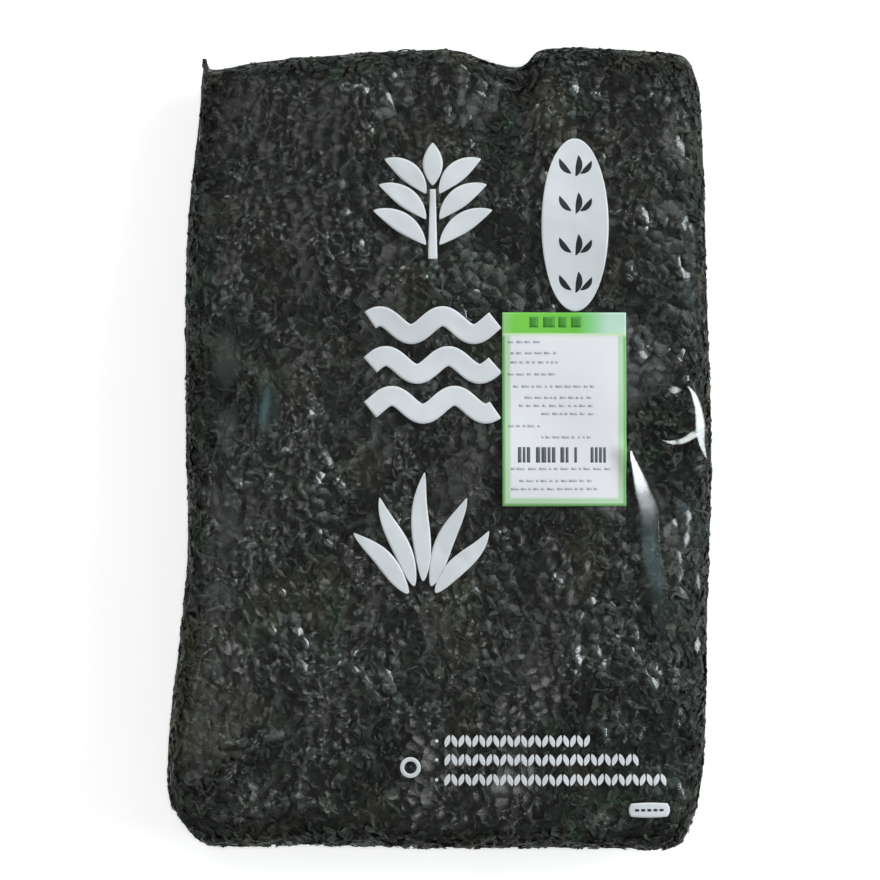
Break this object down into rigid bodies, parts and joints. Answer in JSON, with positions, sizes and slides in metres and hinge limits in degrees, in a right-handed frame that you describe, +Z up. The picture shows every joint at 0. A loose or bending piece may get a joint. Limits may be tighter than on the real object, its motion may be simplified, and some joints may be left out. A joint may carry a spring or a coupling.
{
  "type": "clear film bag of dried laver",
  "caption": "Clear film bag packed tight with dried dark green laver, with a plain paper label on its front, lying on its back.",
  "frame": {"origin": "under the middle of the bag, on the surface that its back rests on", "axes": "+Z up out of the printed front, +Y along the bag towards its folded top end, +X towards the right side of the front"},
  "size_m": [0.1982, 0.2916, 0.0498],
  "materials": {
    "dried_laver": "dark green-black crumpled laver seen through glossy film",
    "label_paper": "smooth coated paper, white with a green border",
    "clear_film": "clear glossy polypropylene film",
    "white_ink": "white ink printed on the film"
  },
  "bodies": {
    "root": {"bag": "dried_laver", "label": "label_paper"}
  },
  "joints": []
}
